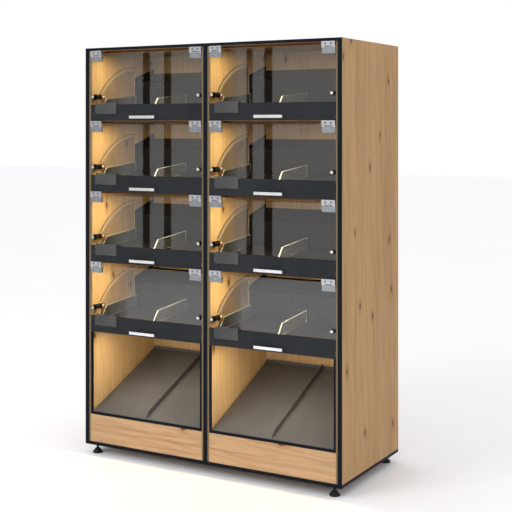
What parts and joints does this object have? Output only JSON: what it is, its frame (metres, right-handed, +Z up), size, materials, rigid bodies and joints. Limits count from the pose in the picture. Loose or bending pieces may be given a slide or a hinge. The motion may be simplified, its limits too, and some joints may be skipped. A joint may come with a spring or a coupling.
{
  "type": "bakery display unit",
  "caption": "Tall oak-clad bakery display with clear hinged flaps over inclined trays, handles, price pockets, open bag bays below and levelling feet.",
  "frame": {"origin": "on the floor, at the middle of the whole unit's footprint, handles included", "axes": "+X to the unit's right seen from the front, +Y to the back, +Z up; the flaps face -Y"},
  "size_m": [1.4, 0.658, 2],
  "materials": {
    "oak_board": "knotty oak, matt lacquer",
    "back_board": "plain board, matt",
    "black_steel": "black powder coat, satin",
    "grey_tray": "dark grey coated sheet, satin",
    "bag_shelf_sheet": "dark grey coated sheet, satin",
    "clear_sheet": "clear, polished edges",
    "grey_fascia": "dark grey coated sheet, satin",
    "hinge_steel": "brushed and polished",
    "black_rubber": "matt",
    "light_channel": "anodised, satin",
    "driver_case": "plain",
    "inlet_plastic": "moulded",
    "foot_plastic": "moulded, matt"
  },
  "bodies": {
    "root": {"base_frame": "black_steel", "front_frame": "black_steel", "side_panel_left": "oak_board", "side_panel_right": "oak_board", "middle_partition": "oak_board", "linings": "oak_board", "rear_lining": "oak_board", "back_panel": "back_board", "top_board": "oak_board", "plinth_boards": "oak_board", "shelves": "oak_board", "front_trays": "grey_tray", "tray_dividers": "clear_sheet", "rear_trays": "grey_tray", "side_cheeks": "clear_sheet", "buffer_brackets": "black_steel", "bag_shelves": "bag_shelf_sheet", "bay_trims": "black_steel", "light_strips": "light_channel", "power_supply": "driver_case", "power_inlet": "inlet_plastic", "hinge_leaves": "hinge_steel", "hinge_pins": "hinge_steel", "foot_plates": "black_steel"},
    "flap_left_1": {"flap_left_1_glazing": "clear_sheet", "flap_left_1_fascia": "grey_fascia", "flap_left_1_fittings": "hinge_steel", "flap_left_1_buffers": "black_rubber"},
    "flap_right_1": {"flap_right_1_glazing": "clear_sheet", "flap_right_1_fascia": "grey_fascia", "flap_right_1_fittings": "hinge_steel", "flap_right_1_buffers": "black_rubber"},
    "flap_left_2": {"flap_left_2_glazing": "clear_sheet", "flap_left_2_fascia": "grey_fascia", "flap_left_2_fittings": "hinge_steel", "flap_left_2_buffers": "black_rubber"},
    "flap_right_2": {"flap_right_2_glazing": "clear_sheet", "flap_right_2_fascia": "grey_fascia", "flap_right_2_fittings": "hinge_steel", "flap_right_2_buffers": "black_rubber"},
    "flap_left_3": {"flap_left_3_glazing": "clear_sheet", "flap_left_3_fascia": "grey_fascia", "flap_left_3_fittings": "hinge_steel", "flap_left_3_buffers": "black_rubber"},
    "flap_right_3": {"flap_right_3_glazing": "clear_sheet", "flap_right_3_fascia": "grey_fascia", "flap_right_3_fittings": "hinge_steel", "flap_right_3_buffers": "black_rubber"},
    "flap_left_4": {"flap_left_4_glazing": "clear_sheet", "flap_left_4_fascia": "grey_fascia", "flap_left_4_fittings": "hinge_steel", "flap_left_4_buffers": "black_rubber"},
    "flap_right_4": {"flap_right_4_glazing": "clear_sheet", "flap_right_4_fascia": "grey_fascia", "flap_right_4_fittings": "hinge_steel", "flap_right_4_buffers": "black_rubber"},
    "foot_front_left": {"foot_front_left": "foot_plastic"},
    "foot_front_right": {"foot_front_right": "foot_plastic"},
    "foot_rear_left": {"foot_rear_left": "foot_plastic"},
    "foot_rear_right": {"foot_rear_right": "foot_plastic"}
  },
  "joints": [
    {"name": "flap_left_1_hinge", "type": "hinge", "parent": "root", "child": "flap_left_1", "pos_m": [-0.345, -0.3015, 1.9605], "axis": [-1, 0, 0], "range_deg": [0, 85]},
    {"name": "flap_right_1_hinge", "type": "hinge", "parent": "root", "child": "flap_right_1", "pos_m": [0.345, -0.3015, 1.9605], "axis": [-1, 0, 0], "range_deg": [0, 85]},
    {"name": "flap_left_2_hinge", "type": "hinge", "parent": "root", "child": "flap_left_2", "pos_m": [-0.345, -0.3015, 1.6145], "axis": [-1, 0, 0], "range_deg": [0, 85]},
    {"name": "flap_right_2_hinge", "type": "hinge", "parent": "root", "child": "flap_right_2", "pos_m": [0.345, -0.3015, 1.6145], "axis": [-1, 0, 0], "range_deg": [0, 85]},
    {"name": "flap_left_3_hinge", "type": "hinge", "parent": "root", "child": "flap_left_3", "pos_m": [-0.345, -0.3015, 1.2685], "axis": [-1, 0, 0], "range_deg": [0, 85]},
    {"name": "flap_right_3_hinge", "type": "hinge", "parent": "root", "child": "flap_right_3", "pos_m": [0.345, -0.3015, 1.2685], "axis": [-1, 0, 0], "range_deg": [0, 85]},
    {"name": "flap_left_4_hinge", "type": "hinge", "parent": "root", "child": "flap_left_4", "pos_m": [-0.345, -0.3015, 0.9225], "axis": [-1, 0, 0], "range_deg": [0, 85]},
    {"name": "flap_right_4_hinge", "type": "hinge", "parent": "root", "child": "flap_right_4", "pos_m": [0.345, -0.3015, 0.9225], "axis": [-1, 0, 0], "range_deg": [0, 85]},
    {"name": "foot_front_left_screw", "type": "slide", "parent": "root", "child": "foot_front_left", "axis": [0, 0, -1], "range_m": [-0.01, 0.015]},
    {"name": "foot_front_right_screw", "type": "slide", "parent": "root", "child": "foot_front_right", "axis": [0, 0, -1], "range_m": [-0.01, 0.015]},
    {"name": "foot_rear_left_screw", "type": "slide", "parent": "root", "child": "foot_rear_left", "axis": [0, 0, -1], "range_m": [-0.01, 0.015]},
    {"name": "foot_rear_right_screw", "type": "slide", "parent": "root", "child": "foot_rear_right", "axis": [0, 0, -1], "range_m": [-0.01, 0.015]}
  ]
}
